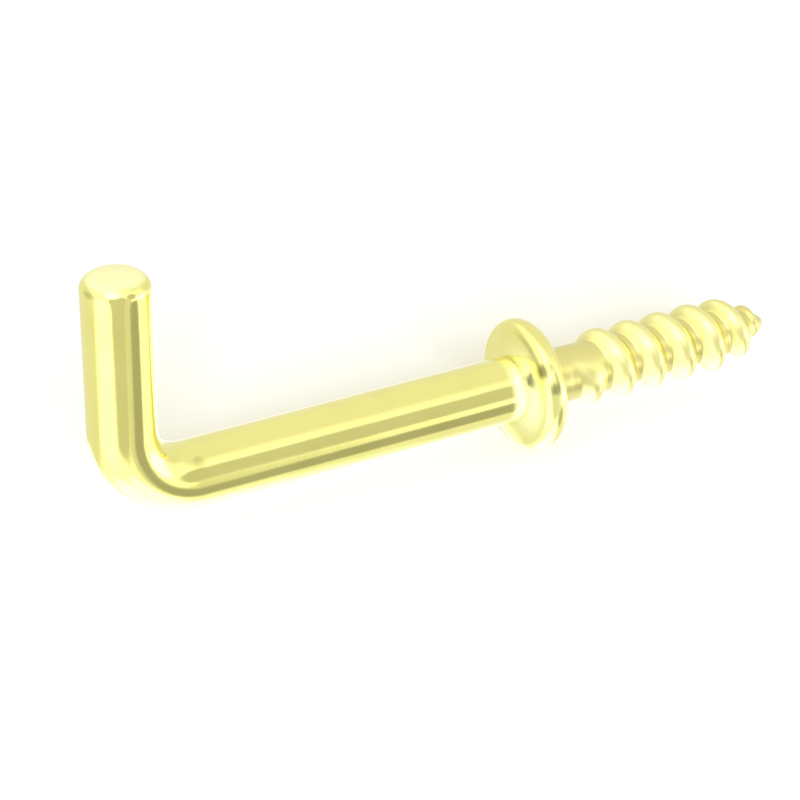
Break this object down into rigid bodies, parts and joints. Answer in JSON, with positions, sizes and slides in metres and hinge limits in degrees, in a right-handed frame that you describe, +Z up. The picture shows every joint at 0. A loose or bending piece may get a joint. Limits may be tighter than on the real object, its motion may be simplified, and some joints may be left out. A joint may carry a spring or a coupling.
{
  "type": "square screw hook",
  "caption": "Round brass rod bent to a right angle, with a pressed collar that seats on wood and a coarse wood-screw end.",
  "frame": {"origin": "centre of the collar's seating face, on the screw's axis", "axes": "+Y along the shank and screw into the wood, +Z up the arm"},
  "size_m": [0.0088, 0.05, 0.0192],
  "materials": {
    "rod": "polished and lacquered, pale yellow",
    "collar": "polished and lacquered, pale yellow"
  },
  "bodies": {
    "root": {"hook_rod": "rod", "collar": "collar"}
  },
  "joints": []
}
